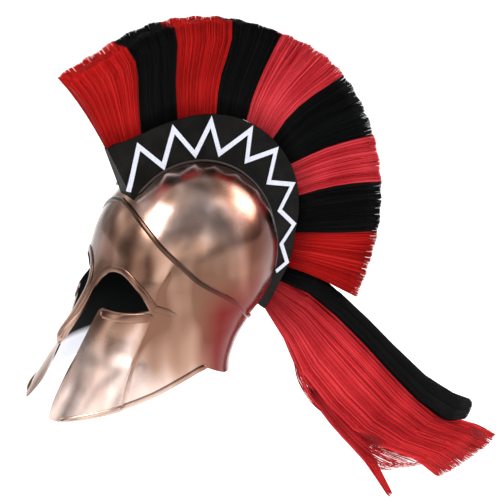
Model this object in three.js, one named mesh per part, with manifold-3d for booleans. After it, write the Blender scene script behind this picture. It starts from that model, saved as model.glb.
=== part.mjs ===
// Corinthian helmet with a hair crest: a raised steel shell, a wooden crest holder with a zigzag
// band on each side, nine upright locks of dyed hair and two that fall behind as a tail.
// Millimetres, +Z up. The helmet faces -Y and the wearer's left is +X. Lengths below are measured
// from the centre of the head; the finished pieces are lowered so that the seat, the inside of
// the crown over that centre, is the origin.
import * as THREE from "three";
import { mergeVertices } from "three/addons/utils/BufferGeometryUtils.js";
import ManifoldModule from "manifold-3d";

const SEAT_HEIGHT = 118.1; // head centre to the inside of the crown
const WALL = 1.6; // sheet steel
const GAP = 0.3; // between separate pieces
const KEEL_HALF_WIDTH = 24; // spread of the crease down the middle of the face
const RIDGE = { width: 5.2, height: 1.7 }; // bead between skull and face plate
const BROW = { width: 5, height: 1.1, offset: 3.6 }; // raised border over each eye
const LIP = { width: 9, height: 1.5, offset: 5.6 }; // turned lip under each eye
const RIM = { width: 6, height: 2.6, offset: 2.6 }; // rolled edge of the cheeks
const HOLDER = { topHalf: 4.5, baseHalf: 18, tailHalf: 9 };
const ZIGZAG = { width: 5.4, thick: 0.6, lift: 0.5 };
const LOCK = { rootHalf: 4.2, tipHalf: 19, clearance: 0.2 };
const BOLT = { shank: 3, head: 7.5, headThick: 2.5, depth: 22 };

// Level sections of the outer surface, crown to below the rim. front, back and wide (the place of
// the widest point) are along Y, half is the half width, roundFront and roundBack are the powers
// of the two half ovals (2 is an ellipse), keel is how far the middle crease stands out.
const SECTIONS = [
  { z: 120.0, front: -8, back: -8, half: 0.05, wide: -8, roundFront: 2, roundBack: 2, keel: 0 },
  { z: 117.5, front: -31, back: 13, half: 22, wide: -9, roundFront: 2, roundBack: 2, keel: 0 },
  { z: 110.0, front: -52, back: 35, half: 42, wide: -10, roundFront: 2, roundBack: 2, keel: 0 },
  { z: 97.0, front: -72, back: 56, half: 61, wide: -10, roundFront: 2, roundBack: 2, keel: 0 },
  { z: 77.0, front: -94, back: 76, half: 78, wide: -10, roundFront: 2, roundBack: 2, keel: 0 },
  { z: 50.0, front: -110, back: 92, half: 91, wide: -10, roundFront: 2.2, roundBack: 2, keel: 0 },
  { z: 20.0, front: -118.5, back: 99, half: 97, wide: -10, roundFront: 2.4, roundBack: 2, keel: 1 },
  { z: -10.0, front: -129.5, back: 97, half: 97, wide: -12, roundFront: 2.4, roundBack: 2, keel: 3 },
  { z: -35.0, front: -142, back: 87, half: 94, wide: -18, roundFront: 2.25, roundBack: 2, keel: 7 },
  { z: -60.0, front: -155, back: 66, half: 89, wide: -28, roundFront: 2.1, roundBack: 2, keel: 15.5 },
  { z: -85.0, front: -167, back: 45, half: 86, wide: -38, roundFront: 2.25, roundBack: 2.1, keel: 12 },
  { z: -110.0, front: -180, back: 33, half: 85, wide: -46, roundFront: 2.9, roundBack: 2.2, keel: 4 },
  { z: -135.0, front: -197, back: 30, half: 86, wide: -52, roundFront: 3.2, roundBack: 2.3, keel: 0 },
  { z: -160.0, front: -216, back: 32, half: 89, wide: -56, roundFront: 3.2, roundBack: 2.3, keel: 0 },
];

// Face opening seen from the front, left half: down from the tip of the nasal, up its edge, round
// the eye and down the front edge of the cheek.
const FACE_OPENING = [
  { x: 0, z: -73 }, { x: 4.6, z: -71 }, { x: 7.4, z: -64 }, { x: 8.6, z: -48 }, { x: 8.6, z: -26 },
  { x: 8.8, z: -12.5 }, { x: 12, z: -2 }, { x: 19.5, z: 7 }, { x: 30.2, z: 12.7 },
  { x: 41.6, z: 13.8 }, { x: 50.3, z: 11.2 }, { x: 58, z: 6.3 }, { x: 65, z: 0.3 },
  { x: 70.6, z: -5.6 }, { x: 75.4, z: -13.6 }, { x: 78.5, z: -21.3 }, { x: 74, z: -23.7 },
  { x: 63.5, z: -25.7 }, { x: 50.7, z: -26.7 }, { x: 40, z: -26 }, { x: 33, z: -26.3 },
  { x: 28.6, z: -29.8 }, { x: 25.3, z: -48 },
  { x: 22, z: -76 }, { x: 20, z: -104 }, { x: 20, z: -118 }, { x: 22.5, z: -129 },
  { x: 27.5, z: -140 }, { x: 36, z: -152 },
];
const BROW_RANGE = [5, 15]; // rows of the opening that the brow border follows
const LIP_RANGE = [15, 21]; // rows that the lower lip follows
const BROW_TAIL = [{ x: 84.4, z: -27 }, { x: 88.3, z: -32.7 }];

// Lower edge seen from the side, cheek tip to nape; the notch is where cheek and nape meet.
const RIM_LINE = [
  { y: -235, z: -149 }, { y: -203, z: -146 }, { y: -179, z: -140 }, { y: -140, z: -132.5 },
  { y: -101, z: -124.5 }, { y: -78, z: -118 }, { y: -54, z: -110 }, { y: -38, z: -104.5 },
  { y: -28, z: -103.5 }, { y: -14, z: -112 }, { y: 5, z: -122 }, { y: 30, z: -127 },
  { y: 120, z: -128 },
];
const RIM_NOTCH_Y = -28;

// Height of the ridge round the head, by angle from the front.
const RIDGE_LINE = [
  { turn: 0, z: 83 }, { turn: 15, z: 79 }, { turn: 28, z: 70 }, { turn: 40, z: 57 },
  { turn: 59, z: 28 }, { turn: 72, z: 6 }, { turn: 93, z: -18 }, { turn: 122, z: -50 },
  { turn: 150, z: -68 }, { turn: 180, z: -75 },
];

// Crest holder and upright hair by angle over the crown, 0 to the front and 90 straight up:
// radii of the holder's foot, its top edge and the hair ends.
const CREST = [
  { over: 42, foot: 112, top: 172, ends: 274 }, { over: 54, foot: 108, top: 181, ends: 275 },
  { over: 60, foot: 106, top: 175, ends: 273 }, { over: 67, foot: 106, top: 170.5, ends: 272 },
  { over: 82, foot: 106, top: 169, ends: 277 }, { over: 99, foot: 106, top: 170, ends: 277 },
  { over: 113, foot: 104, top: 168.5, ends: 276 }, { over: 128, foot: 100, top: 165, ends: 277 },
  { over: 143, foot: 96, top: 159.5, ends: 271 }, { over: 154, foot: 94, top: 153.5, ends: 265 },
  { over: 166, foot: 92, top: 145, ends: 258 }, { over: 178, foot: 92, top: 136, ends: 251 },
  { over: 194, foot: 96, top: 131, ends: 241 }, { over: 204, foot: 102, top: 126.5, ends: 236 },
  { over: 222, foot: 112, top: 125, ends: 228 },
];
const HOLDER_FRONT = [{ y: -80, z: 78 }, { y: -108, z: 147 }]; // slope of the holder's front end

// Corners of the zigzag by angle over the crown and radius, front to back.
const ZIGZAG_LINE = [
  { over: 47.6, radius: 131 }, { over: 63.8, radius: 161 }, { over: 69.5, radius: 127.5 },
  { over: 80.2, radius: 160.5 }, { over: 88.1, radius: 127.5 }, { over: 97.3, radius: 161.5 },
  { over: 102.4, radius: 127 }, { over: 116.7, radius: 160.5 }, { over: 119.9, radius: 127 },
  { over: 132.9, radius: 156.5 }, { over: 139.5, radius: 122 }, { over: 152, radius: 147 },
  { over: 158.8, radius: 116 }, { over: 172, radius: 133.5 }, { over: 181, radius: 112.5 },
  { over: 193, radius: 126.5 }, { over: 199, radius: 112.5 },
];

// Upright locks, front to back: angles of their sides at the root and at the ends.
const FAN_LOCKS = [
  { name: "plume_lock_1_red", hue: "red", root: [53.8, 67.4], ends: [57, 71] },
  { name: "plume_lock_2_black", hue: "black", root: [67.4, 83.4], ends: [71, 83.5] },
  { name: "plume_lock_3_red", hue: "red", root: [83.4, 99.4], ends: [83.5, 99] },
  { name: "plume_lock_4_black", hue: "black", root: [99.4, 113.5], ends: [99, 113] },
  { name: "plume_lock_5_red", hue: "red", root: [113.5, 128.9], ends: [113, 133.5] },
  { name: "plume_lock_6_black", hue: "black", root: [128.9, 143.5], ends: [133.5, 152.5] },
  { name: "plume_lock_7_red", hue: "red", root: [143.5, 159.1], ends: [152.5, 166.5] },
  { name: "plume_lock_8_black", hue: "black", root: [159.1, 178.2], ends: [166.5, 181.5] },
  { name: "plume_lock_9_red", hue: "red", root: [178.2, 195.4], ends: [181.5, 200.5] },
];

// Falling locks seen from the side: the two edges from root to ends, with the half thickness.
const TAIL_LOCKS = [
  {
    name: "plume_tail_black", hue: "black",
    rows: [
      { upY: 126, upZ: -37, lowY: 115, lowZ: -52.5, half: 4 },
      { upY: 153, upZ: -49, lowY: 145, lowZ: -68, half: 8 },
      { upY: 183, upZ: -66, lowY: 176, lowZ: -94, half: 11 },
      { upY: 221, upZ: -104, lowY: 214, lowZ: -133, half: 13 },
      { upY: 258, upZ: -142, lowY: 254, lowZ: -178, half: 14 },
      { upY: 296, upZ: -184, lowY: 294, lowZ: -226, half: 15 },
      { upY: 351, upZ: -240, lowY: 337, lowZ: -272, half: 16 },
      { upY: 400, upZ: -276, lowY: 378, lowZ: -306, half: 14 },
      { upY: 424, upZ: -288, lowY: 410, lowZ: -313, half: 10 },
    ],
  },
  {
    name: "plume_tail_red", hue: "red",
    rows: [
      { upY: 114, upZ: -54, lowY: 96, lowZ: -84, half: 4 },
      { upY: 144, upZ: -69.8, lowY: 116, lowZ: -110, half: 8 },
      { upY: 174.8, upZ: -95.8, lowY: 132, lowZ: -150, half: 12 },
      { upY: 212.5, upZ: -134.8, lowY: 150, lowZ: -188, half: 15 },
      { upY: 252.5, upZ: -179.8, lowY: 178, lowZ: -228, half: 18 },
      { upY: 292.5, upZ: -227.8, lowY: 210, lowZ: -266, half: 20 },
      { upY: 335.5, upZ: -273.8, lowY: 248, lowZ: -302, half: 21 },
      { upY: 376.8, upZ: -307.9, lowY: 298, lowZ: -332, half: 20 },
      { upY: 431, upZ: -331, lowY: 344, lowZ: -362, half: 17 },
      { upY: 467, upZ: -357, lowY: 372, lowZ: -392, half: 11 },
    ],
  },
];

// The thin lock that leaves the underside of the red tail.
const WISP = {
  name: "plume_wisp_red", hue: "red",
  rows: [
    { y: 196, z: -240, wide: 9, thick: 7 }, { y: 232, z: -293, wide: 9, thick: 6 },
    { y: 266, z: -349, wide: 6, thick: 5 }, { y: 295, z: -400, wide: 3.5, thick: 3 },
  ],
};

const FINISH = {
  copper: { color: 0xb07d6c, metalness: 1, roughness: 0.3 },
  holder: { color: 0x0b0a0a, metalness: 0, roughness: 0.55 },
  paint: { color: 0xd8dae2, metalness: 0, roughness: 0.6 },
  red: { color: 0xc01a22, metalness: 0, roughness: 0.7 },
  black: { color: 0x0a0a0c, metalness: 0, roughness: 0.6 },
  steel: { color: 0x7f8285, metalness: 1, roughness: 0.4 },
};

const wasm = await ManifoldModule();
wasm.setup();

const rad = THREE.MathUtils.degToRad;
const lerp = THREE.MathUtils.lerp;

// Straight-line reading of a table at one value of its key column.
function readTable(table, key, at, column) {
  let i = 1;
  while (i < table.length - 1 && table[i][key] < at) i += 1;
  const [a, b] = [table[i - 1], table[i]];
  const t = THREE.MathUtils.clamp((at - a[key]) / (b[key] - a[key]), 0, 1);
  return lerp(a[column], b[column], t);
}

// The section at a place between 0 (crown) and 1 (lowest row), eased through the rows.
function sectionAt(place) {
  const last = SECTIONS.length - 1;
  const s = THREE.MathUtils.clamp(place, 0, 1) * last;
  const i = Math.min(Math.floor(s), last - 1);
  const f = s - i;
  const section = {};
  for (const column of Object.keys(SECTIONS[0])) {
    const b = SECTIONS[i][column];
    const c = SECTIONS[i + 1][column];
    const a = i > 0 ? SECTIONS[i - 1][column] : 2 * b - c;
    const d = i + 2 <= last ? SECTIONS[i + 2][column] : 2 * c - b;
    const square = (2 * a - 5 * b + 4 * c - d) * f * f;
    const cube = (-a + 3 * b - 3 * c + d) * f * f * f;
    section[column] = 0.5 * (2 * b + (c - a) * f + square + cube);
  }
  return section;
}

// A point of the outer surface; turn is the angle from the front, positive to the left.
function surfacePoint(place, turn) {
  const s = sectionAt(place);
  const c = Math.cos(turn);
  const si = Math.sin(turn);
  const reach = Math.max(c >= 0 ? s.wide - s.front : s.back - s.wide, 0.05);
  const power = c >= 0 ? s.roundFront : s.roundBack;
  const side = Math.max(s.half, 0.05);
  const r = (Math.abs(c) / reach) ** power + (Math.abs(si) / side) ** power;
  const radius = r ** (-1 / power);
  const x = radius * si;
  const fade = Math.max(1 - (x / KEEL_HALF_WIDTH) ** 2, 0);
  const keel = c > 0 ? s.keel * fade * fade : 0;
  return new THREE.Vector3(x, s.wide - radius * c - keel, s.z);
}

function surfaceNormal(place, turn) {
  if (place < 0.004) return new THREE.Vector3(0, 0, 1);
  const e = 0.004;
  const along = surfacePoint(place + e, turn).sub(surfacePoint(place - e, turn));
  const round = surfacePoint(place, turn + e).sub(surfacePoint(place, turn - e));
  return along.cross(round).normalize();
}

// The place whose test value passes zero, found by halving.
function solvePlace(test) {
  let [low, high] = [0, 1];
  for (let i = 0; i < 40; i += 1) {
    const mid = (low + high) / 2;
    if (test(mid) > 0) low = mid;
    else high = mid;
  }
  return (low + high) / 2;
}

const placeAtHeight = (z) => solvePlace((place) => sectionAt(place).z - z);

// The surface straight behind a point of the front view.
function fromFront(x, z) {
  const place = placeAtHeight(z);
  let [low, high] = [-1.5, 1.5];
  for (let i = 0; i < 40; i += 1) {
    const mid = (low + high) / 2;
    if (surfacePoint(place, mid).x < x) low = mid;
    else high = mid;
  }
  return { point: surfacePoint(place, low), normal: surfaceNormal(place, low) };
}

function solidFromTriangles(points, triangles) {
  const mesh = new wasm.Mesh({
    numProp: 3,
    vertProperties: new Float32Array(points.flat()),
    triVerts: new Uint32Array(triangles.flat()),
  });
  return new wasm.Manifold(mesh);
}

// A solid through rings of equal length, the ends closed by a fan to their middle. closed joins
// the last ring to the first.
function solidFromRings(rings, closed = false) {
  const count = rings[0].length;
  const points = rings.flat().map((p) => [p.x, p.y, p.z]);
  const triangles = [];
  const spans = closed ? rings.length : rings.length - 1;
  for (let i = 0; i < spans; i += 1) {
    const next = (i + 1) % rings.length;
    for (let j = 0; j < count; j += 1) {
      const k = (j + 1) % count;
      const [a, b] = [i * count + j, i * count + k];
      const [c, d] = [next * count + k, next * count + j];
      triangles.push([a, b, c], [a, c, d]);
    }
  }
  if (!closed) {
    for (const [ring, flip] of [[0, true], [rings.length - 1, false]]) {
      const middle = new THREE.Vector3();
      rings[ring].forEach((p) => middle.add(p));
      middle.divideScalar(count);
      const hub = points.push([middle.x, middle.y, middle.z]) - 1;
      for (let j = 0; j < count; j += 1) {
        const [a, b] = [ring * count + j, ring * count + ((j + 1) % count)];
        triangles.push(flip ? [hub, b, a] : [hub, a, b]);
      }
    }
  }
  return outward(points, triangles);
}

// Turns every face over when the rings were listed the other way round.
function outward(points, triangles) {
  let volume = 0;
  for (const [a, b, c] of triangles) {
    const [p, q, r] = [points[a], points[b], points[c]].map((v) => new THREE.Vector3(...v));
    volume += p.dot(q.cross(r));
  }
  if (volume < 0) triangles.forEach((t) => t.reverse());
  return solidFromTriangles(points, triangles);
}

function solidFromGeometry(geometry) {
  const bare = new THREE.BufferGeometry();
  bare.setAttribute("position", geometry.attributes.position.clone());
  if (geometry.index) bare.setIndex(geometry.index.clone());
  const merged = mergeVertices(bare, 1e-4);
  const position = merged.attributes.position;
  const points = [];
  for (let i = 0; i < position.count; i += 1) {
    points.push([position.getX(i), position.getY(i), position.getZ(i)]);
  }
  const triangles = [];
  for (let i = 0; i < merged.index.count; i += 3) {
    const t = [merged.index.getX(i), merged.index.getX(i + 1), merged.index.getX(i + 2)];
    if (t[0] !== t[1] && t[1] !== t[2] && t[2] !== t[0]) triangles.push(t);
  }
  return outward(points, triangles);
}

// A prism on an outline of the side view (y, z), running along X from one value to another.
function sidePrism(outline, from, to) {
  const shape = new THREE.Shape(outline.map(([y, z]) => new THREE.Vector2(y, z)));
  const geometry = new THREE.ExtrudeGeometry(shape, { depth: to - from, bevelEnabled: false });
  const axes = new THREE.Matrix4().makeBasis(
    new THREE.Vector3(0, 1, 0), new THREE.Vector3(0, 0, 1), new THREE.Vector3(1, 0, 0));
  return solidFromGeometry(geometry.applyMatrix4(axes).translate(from, 0, 0));
}

// A prism on an outline of the front view (x, z), running along Y.
function frontPrism(outline, from, to) {
  const shape = new THREE.Shape(outline.map(([x, z]) => new THREE.Vector2(x, z)));
  const geometry = new THREE.ExtrudeGeometry(shape, { depth: to - from, bevelEnabled: false });
  const axes = new THREE.Matrix4().makeBasis(
    new THREE.Vector3(1, 0, 0), new THREE.Vector3(0, 0, 1), new THREE.Vector3(0, -1, 0));
  return solidFromGeometry(geometry.applyMatrix4(axes).translate(0, to, 0));
}

// Angles round the head, closer together at the front where the keel is.
const TURNS = [];
for (const degrees of [0, 4, 8, 12.5, 18, 26, 35, 45, 55, 65, 75, 86, 98, 111, 125, 140, 160]) {
  TURNS.push(rad(degrees));
}
const ROUND = [...TURNS, Math.PI, ...TURNS.slice(1).reverse().map((turn) => -turn)];
const PLACES = [0.0015, 0.06, 0.13, 0.205, 0.285, 0.37, 0.455, 0.54, 0.615, 0.69, 0.77, 0.85, 0.93, 1];

// The space inside the outer surface, moved out or in by an offset.
function headForm(offset, lower) {
  const rings = PLACES.map((place) => ROUND.map((turn) => {
    const point = surfacePoint(place, turn);
    return point.addScaledVector(surfaceNormal(place, turn), offset);
  }));
  rings.push(rings[rings.length - 1].map((p) => p.clone().setZ(lower)));
  return solidFromRings(rings);
}

// A raised band along a path of surface points, sunk a little way into the wall.
function bead(path, size, closed = false) {
  const rings = path.map(({ point, normal }, i) => {
    const before = path[closed ? (i + path.length - 1) % path.length : Math.max(i - 1, 0)].point;
    const after = path[closed ? (i + 1) % path.length : Math.min(i + 1, path.length - 1)].point;
    const across = after.clone().sub(before).cross(normal).normalize();
    const corners = [[-0.5, -1.2], [0.5, -1.2], [0.32, size.height], [-0.32, size.height]];
    return corners.map(([side, rise]) => point.clone()
      .addScaledVector(across, side * size.width)
      .addScaledVector(normal, rise));
  });
  return solidFromRings(rings, closed);
}

// Rows of the face opening moved outward from the hole in the front view, on one side of the head.
function besideOpening([first, last], offset, side, extra = []) {
  const rows = FACE_OPENING.slice(first, last + 1);
  const moved = rows.map((row, i) => {
    const before = FACE_OPENING[first + i - 1];
    const after = FACE_OPENING[first + i + 1];
    const along = new THREE.Vector2(after.x - before.x, after.z - before.z).normalize();
    return { x: row.x - along.y * offset, z: row.z + along.x * offset };
  });
  return [...moved, ...extra].map(({ x, z }) => fromFront(side * x, z));
}

// The ridge round the head, as surface points.
function ridgePath() {
  return ROUND.map((turn) => {
    const degrees = Math.abs(THREE.MathUtils.radToDeg(turn));
    const place = placeAtHeight(readTable(RIDGE_LINE, "turn", degrees, "z"));
    return { point: surfacePoint(place, turn), normal: surfaceNormal(place, turn) };
  });
}

function rimPath(side) {
  const path = [];
  for (let y = -198; y <= RIM_NOTCH_Y + 1; y += 17) {
    const z = readTable(RIM_LINE, "y", y, "z") + RIM.offset;
    const place = placeAtHeight(z);
    let [low, high] = [0.05, 3];
    for (let i = 0; i < 40; i += 1) {
      const mid = (low + high) / 2;
      if (surfacePoint(place, mid).y < y) low = mid;
      else high = mid;
    }
    path.push({ point: surfacePoint(place, side * low), normal: surfaceNormal(place, side * low) });
  }
  return path;
}

function boltAxis(over) {
  return new THREE.Vector3(0, -Math.cos(rad(over)), Math.sin(rad(over)));
}

// A round solid about a line from the head centre, from a lathe profile of radius and height.
function turned(profile, over) {
  const points = profile.map(([radius, height]) => new THREE.Vector2(radius, height));
  const geometry = new THREE.LatheGeometry(points, 10);
  const turn = new THREE.Quaternion().setFromUnitVectors(new THREE.Vector3(0, 1, 0), boltAxis(over));
  return solidFromGeometry(geometry.applyQuaternion(turn));
}

const BOLTS = [{ name: "crest_bolt_front", over: 72 }, { name: "crest_bolt_rear", over: 128 }];

// Distance from the head centre to the inside of the shell along a line over the crown.
function insideRadius(over) {
  const turn = over < 90 ? 0 : Math.PI;
  let best = 0;
  let miss = Infinity;
  for (let place = 0.01; place < 0.6; place += 0.002) {
    const p = surfacePoint(place, turn);
    const angle = THREE.MathUtils.radToDeg(Math.atan2(p.z, -p.y));
    if (Math.abs(angle - over) < miss) {
      miss = Math.abs(angle - over);
      best = Math.hypot(p.y, p.z) - WALL;
    }
  }
  return best;
}

// --- helmet shell -------------------------------------------------------------------------

function helmetShell() {
  let shell = headForm(0, -175).subtract(headForm(-WALL, -190));
  shell = shell.add(bead(ridgePath(), RIDGE, true));
  for (const side of [1, -1]) {
    shell = shell.add(bead(besideOpening(BROW_RANGE, BROW.offset, side, BROW_TAIL), BROW));
    shell = shell.add(bead(besideOpening(LIP_RANGE, LIP.offset, side), LIP));
    shell = shell.add(bead(rimPath(side), RIM));
  }
  const left = FACE_OPENING.map(({ x, z }) => [x, z]);
  const right = left.slice(1).reverse().map(([x, z]) => [-x, z]);
  const opening = [...left, [36, -200], [-36, -200], ...right];
  shell = shell.subtract(frontPrism(opening, -270, -60));
  const below = RIM_LINE.map(({ y, z }) => [y, z]);
  shell = shell.subtract(sidePrism([...below, [120, -220], [-235, -220]], -130, 130));
  for (const bolt of BOLTS) {
    const r = BOLT.shank + GAP;
    const middle = insideRadius(bolt.over);
    shell = shell.subtract(turned([[0, middle - 8], [r, middle - 8], [r, middle + 8], [0, middle + 8]],
      bolt.over));
  }
  return shell;
}

// --- crest holder, its bolts and its zigzag ---------------------------------------------------

function holderHalf(over, radius) {
  const foot = over > 160 ? lerp(HOLDER.baseHalf, HOLDER.tailHalf, Math.min((over - 160) / 50, 1))
    : HOLDER.baseHalf;
  const [low, high] = [readTable(CREST, "over", over, "foot"), readTable(CREST, "over", over, "top")];
  return lerp(foot, HOLDER.topHalf, (radius - low) / (high - low));
}

function overPoint(over, radius, x) {
  return new THREE.Vector3(x, -radius * Math.cos(rad(over)), radius * Math.sin(rad(over)));
}

// The holder as a plain wedge ring over the crown, its sides and top moved out by an offset.
function holderForm(offset) {
  const rings = [];
  for (let over = 42; over <= 222; over += 6) {
    const foot = readTable(CREST, "over", over, "foot");
    const top = readTable(CREST, "over", over, "top") + offset;
    const footHalf = holderHalf(over, foot) + offset;
    const topHalf = HOLDER.topHalf + offset;
    rings.push([
      overPoint(over, foot, footHalf), overPoint(over, top, topHalf),
      overPoint(over, top, -topHalf), overPoint(over, foot, -footHalf),
    ]);
  }
  return solidFromRings(rings);
}

function crestHolder() {
  let holder = holderForm(0).subtract(headForm(GAP + 0.05, -190));
  const [low, high] = HOLDER_FRONT;
  const slope = (high.y - low.y) / (high.z - low.z);
  const ahead = (z) => low.y + (z - low.z) * slope;
  holder = holder.subtract(sidePrism([[-220, 40], [ahead(40), 40], [ahead(200), 200], [-220, 200]], -40, 40));
  const swell = { width: RIDGE.width + 2, height: RIDGE.height + GAP + 0.1 };
  holder = holder.subtract(bead(ridgePath(), swell, true));
  for (const bolt of BOLTS) {
    const r = BOLT.shank + GAP;
    const end = insideRadius(bolt.over) + WALL + BOLT.depth + GAP;
    holder = holder.subtract(turned([[0, 90], [r, 90], [r, end], [0, end]], bolt.over));
  }
  return holder;
}

function crestBolt({ over }) {
  const inside = insideRadius(over) - 3;
  const end = inside + WALL + BOLT.depth;
  return turned([
    [0, inside - BOLT.headThick], [BOLT.head - 1.5, inside - BOLT.headThick], [BOLT.head, inside - 1],
    [BOLT.head, inside], [BOLT.shank, inside], [BOLT.shank, end], [0, end],
  ], over);
}

// A ribbon along the zigzag, mitred at its corners, that follows the holder's side.
function zigzag(side) {
  const line = ZIGZAG_LINE.map(({ over, radius }) => overPoint(over, radius, 0));
  const edges = [[], []];
  line.forEach((p, i) => {
    const before = i > 0 ? p.clone().sub(line[i - 1]).normalize() : null;
    const after = i < line.length - 1 ? line[i + 1].clone().sub(p).normalize() : null;
    const [a, b] = [before ?? after, after ?? before];
    const across = new THREE.Vector3(0, -(a.z + b.z), a.y + b.y).normalize();
    const turn = Math.max(Math.abs(across.dot(new THREE.Vector3(0, -a.z, a.y))), 0.3);
    edges.forEach((edge, k) => {
      const q = p.clone().addScaledVector(across, (k - 0.5) * ZIGZAG.width / turn);
      edge.push([q.y, q.z]);
    });
  });
  const skin = holderForm(ZIGZAG.lift + ZIGZAG.thick).subtract(holderForm(ZIGZAG.lift));
  const outline = [...edges[0], ...edges[1].reverse()];
  return skin.intersect(sidePrism(outline, side > 0 ? 0.5 : -40, side > 0 ? 40 : -0.5));
}

// --- hair ---------------------------------------------------------------------------------------

// A repeatable scatter value between -1 and 1.
const scatter = (seed) => 2 * (Math.abs(Math.sin(seed * 12.9898) * 43758.5453) % 1) - 1;

// One tapering strand of hair through stations of centre, across (unit) and half sizes.
function strand(stations) {
  return solidFromRings(stations.map(({ centre, across, wide, thick }) => [
    centre.clone().addScaledVector(across, wide),
    centre.clone().add(new THREE.Vector3(thick, 0, 0)),
    centre.clone().addScaledVector(across, -wide),
    centre.clone().add(new THREE.Vector3(-thick, 0, 0)),
  ]));
}

// Strands laid on both faces of a lock from root to ends; edges(t) gives the two edge points and
// the half thickness.
function dressed(backing, edges, seed, count, spread, places) {
  let lock = backing;
  for (let i = 0; i < count; i += 1) {
    for (const layer of [-1, 1]) {
      const along = (i + 0.5) / count;
      const length = 1 - 0.03 * Math.abs(scatter(seed + i * 5.3 + layer * 2.9));
      lock = lock.add(strand(places.map((t) => {
        const { up, low, half } = edges(t * length);
        const taper = t === 1 ? 0.55 : 1;
        return {
          centre: up.clone().lerp(low, along).setX(layer * half * 0.5),
          across: low.clone().sub(up).normalize(),
          wide: up.distanceTo(low) / count * spread * taper,
          thick: half * 0.5 * taper,
        };
      })));
    }
  }
  return lock;
}

// The two edges of an upright lock, drawn in by the clearance between neighbours.
function fanEdges({ root, ends }, t) {
  const inset = THREE.MathUtils.radToDeg(LOCK.clearance / 150);
  const [up, low] = [0, 1].map((k) => {
    const shift = k === 0 ? inset : -inset;
    const from = overPoint(root[k] + shift, readTable(CREST, "over", root[k], "top"), 0);
    return from.lerp(overPoint(ends[k] + shift, readTable(CREST, "over", ends[k], "ends"), 0), t);
  });
  return { up, low, half: lerp(LOCK.rootHalf, LOCK.tipHalf, t ** 0.8) };
}

function fanLock(lock, seed) {
  const rings = [];
  for (let i = 0; i <= 4; i += 1) {
    const inset = THREE.MathUtils.radToDeg(LOCK.clearance / 150) * ({ 0: 1, 4: -1 }[i] ?? 0);
    const rootOver = lerp(lock.root[0], lock.root[1], i / 4) + inset;
    const endsOver = lerp(lock.ends[0], lock.ends[1], i / 4) + inset;
    const rootRadius = readTable(CREST, "over", rootOver, "top") + GAP + 0.3;
    const endsRadius = readTable(CREST, "over", endsOver, "ends") * 0.96;
    const [near, far] = [LOCK.rootHalf, LOCK.tipHalf * 0.72];
    rings.push([
      overPoint(rootOver, rootRadius, near), overPoint(endsOver, endsRadius, far),
      overPoint(endsOver, endsRadius, -far), overPoint(rootOver, rootRadius, -near),
    ]);
  }
  return dressed(solidFromRings(rings), (t) => fanEdges(lock, t), seed, 3, 0.43, [0.12, 0.6, 1]);
}

function tailLock({ rows }, seed) {
  const last = rows.length - 1;
  const edges = (t) => {
    const i = Math.min(Math.floor(t * last), last - 1);
    const f = t * last - i;
    const [a, b] = [rows[i], rows[i + 1]];
    return {
      up: new THREE.Vector3(0, lerp(a.upY, b.upY, f), lerp(a.upZ, b.upZ, f)),
      low: new THREE.Vector3(0, lerp(a.lowY, b.lowY, f), lerp(a.lowZ, b.lowZ, f)),
      half: lerp(a.half, b.half, f),
    };
  };
  const backing = solidFromRings(rows.slice(0, last).map(({ upY, upZ, lowY, lowZ, half }) => {
    const h = half * 0.7;
    return [
      new THREE.Vector3(h, upY, upZ), new THREE.Vector3(-h, upY, upZ),
      new THREE.Vector3(-h, lowY, lowZ), new THREE.Vector3(h, lowY, lowZ),
    ];
  }));
  const lock = dressed(backing, edges, seed, 2, 0.37, [0.1, 0.25, 0.4, 0.6, 0.8, 1]);
  return lock.subtract(holderForm(GAP + 0.1));
}

// The thin lock, its root cut back from the tail it leaves.
function wispLock({ rows }, tail) {
  const form = strand(rows.map(({ y, z, wide, thick }, i) => {
    const [from, to] = [rows[Math.max(i - 1, 0)], rows[Math.min(i + 1, rows.length - 1)]];
    const across = new THREE.Vector3(0, from.z - to.z, to.y - from.y).normalize();
    return { centre: new THREE.Vector3(0, y, z), across, wide, thick };
  }));
  const step = GAP + 0.1;
  const moved = [[0, -step, -step], [0, 0, -step], [step, -step, 0], [-step, -step, 0]];
  const room = moved.reduce((all, shift) => all.add(tail.translate(shift)), tail);
  const pieces = form.subtract(room).decompose();
  return pieces.reduce((best, piece) => (piece.volume() > best.volume() ? piece : best));
}

// --- assembly -----------------------------------------------------------------------------------

function meshFromSolid(solid, name, finish) {
  const { vertProperties, triVerts } = solid.getMesh();
  const geometry = new THREE.BufferGeometry();
  geometry.setAttribute("position", new THREE.BufferAttribute(new Float32Array(vertProperties), 3));
  geometry.setIndex(new THREE.BufferAttribute(new Uint32Array(triVerts), 1));
  geometry.translate(0, 0, -SEAT_HEIGHT);
  const flat = geometry.toNonIndexed();
  flat.computeVertexNormals();
  const mesh = new THREE.Mesh(flat, new THREE.MeshStandardMaterial(finish));
  mesh.name = name;
  return mesh;
}

const helmet = new THREE.Group();
helmet.name = "corinthian_helmet";
helmet.add(meshFromSolid(helmetShell(), "helmet_shell", FINISH.copper));
helmet.add(meshFromSolid(crestHolder(), "crest_holder", FINISH.holder));
for (const bolt of BOLTS) {
  helmet.add(meshFromSolid(crestBolt(bolt), bolt.name, FINISH.steel));
}
helmet.add(meshFromSolid(zigzag(1), "zigzag_left", FINISH.paint));
helmet.add(meshFromSolid(zigzag(-1), "zigzag_right", FINISH.paint));
FAN_LOCKS.forEach((lock, i) => {
  helmet.add(meshFromSolid(fanLock(lock, 11 + i * 6.7), lock.name, FINISH[lock.hue]));
});
const tails = TAIL_LOCKS.map((lock, i) => tailLock(lock, 83 + i * 9.1));
TAIL_LOCKS.forEach((lock, i) => {
  helmet.add(meshFromSolid(tails[i], lock.name, FINISH[lock.hue]));
});
helmet.add(meshFromSolid(wispLock(WISP, tails[1]), WISP.name, FINISH[WISP.hue]));

export default helmet;
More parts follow.
